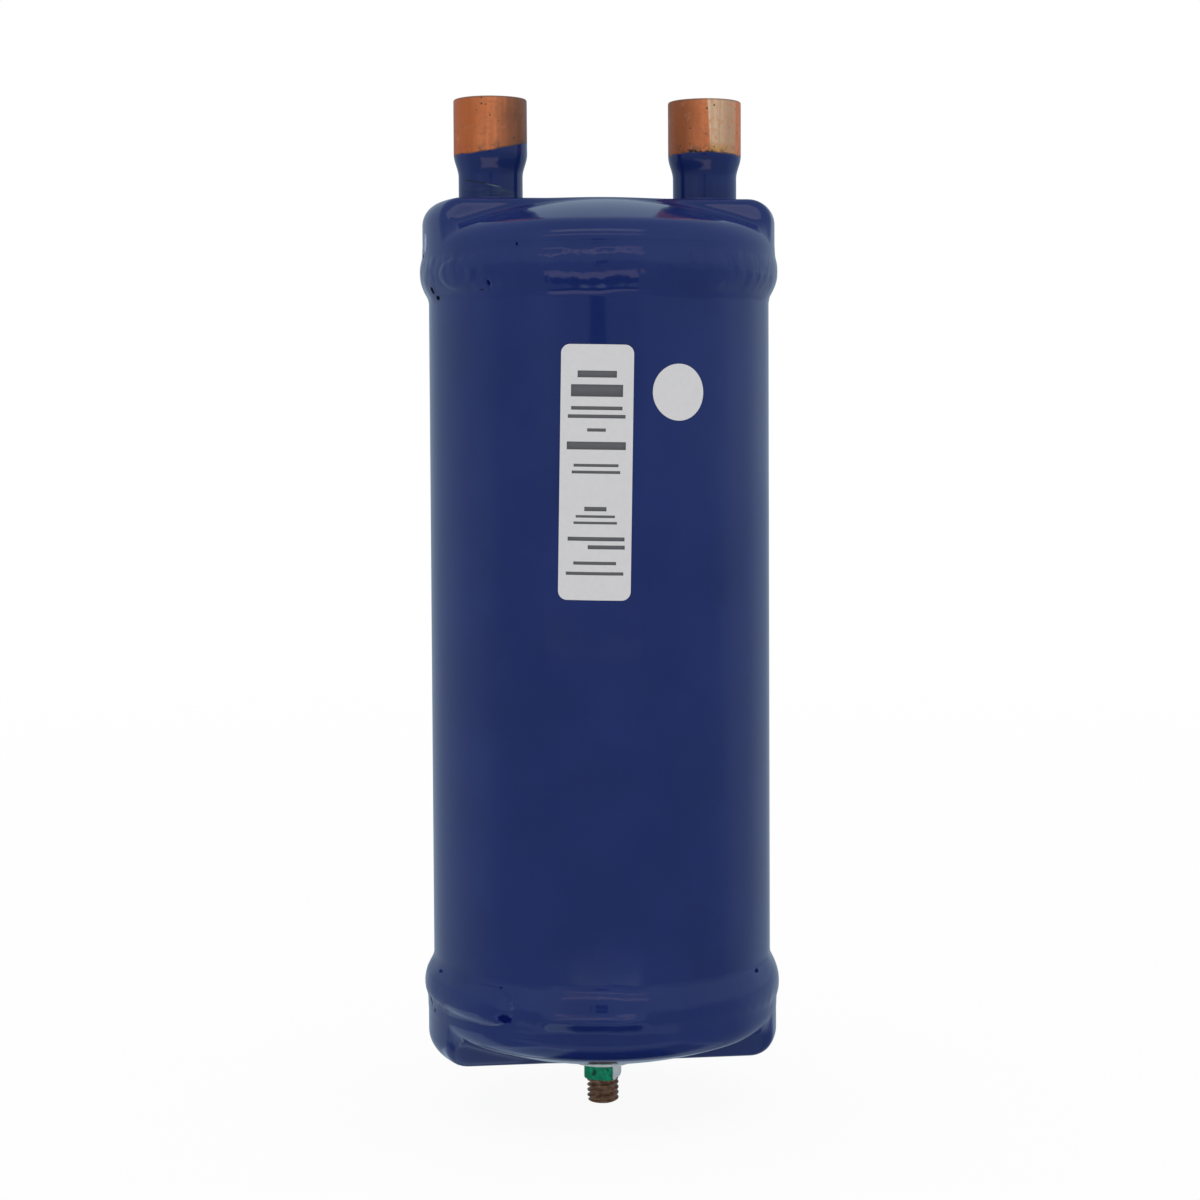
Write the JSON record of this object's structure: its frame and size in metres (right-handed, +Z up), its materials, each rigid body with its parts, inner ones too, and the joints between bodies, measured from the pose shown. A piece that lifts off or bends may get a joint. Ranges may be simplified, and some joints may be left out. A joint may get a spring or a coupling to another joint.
{
  "type": "suction line accumulator",
  "caption": "Upright welded steel suction line accumulator: blue painted vessel with stamped domed caps, thick lap welds, belled copper stubs on top and a threaded mounting stud below.",
  "frame": {"origin": "on the vessel axis, at the lower shoulder of the mounting stud's square neck", "axes": "+Z up along the vessel axis, +X from the inlet stub to the outlet stub, -Y toward the label"},
  "size_m": [0.1068, 0.1068, 0.3016],
  "materials": {
    "vessel_paint": "glossy dark blue powder coat",
    "copper": "dull copper, painted over near its foot",
    "stud_steel": "plated steel with a green dyed neck and a browned thread",
    "bare_steel": "bare weld metal",
    "label_paper": "white label stock",
    "inner_steel": "plain steel tube and sheet",
    "inner_brass": "turned brass and braze metal"
  },
  "bodies": {
    "root": {"shell": "vessel_paint", "top_cap": "vessel_paint", "bottom_cap": "vessel_paint", "top_weld": "vessel_paint", "bottom_weld": "vessel_paint", "inlet_stub": "copper", "outlet_stub": "copper", "inlet_braze": "vessel_paint", "outlet_braze": "vessel_paint", "mounting_stud": "stud_steel", "stud_weld": "bare_steel", "product_label": "label_paper", "round_sticker": "label_paper", "inlet_deflector": "inner_steel", "u_tube": "inner_steel", "u_tube_braze": "inner_brass", "oil_pickup": "inner_brass", "oil_screen": "inner_brass", "leg_brace": "inner_steel"}
  },
  "joints": []
}
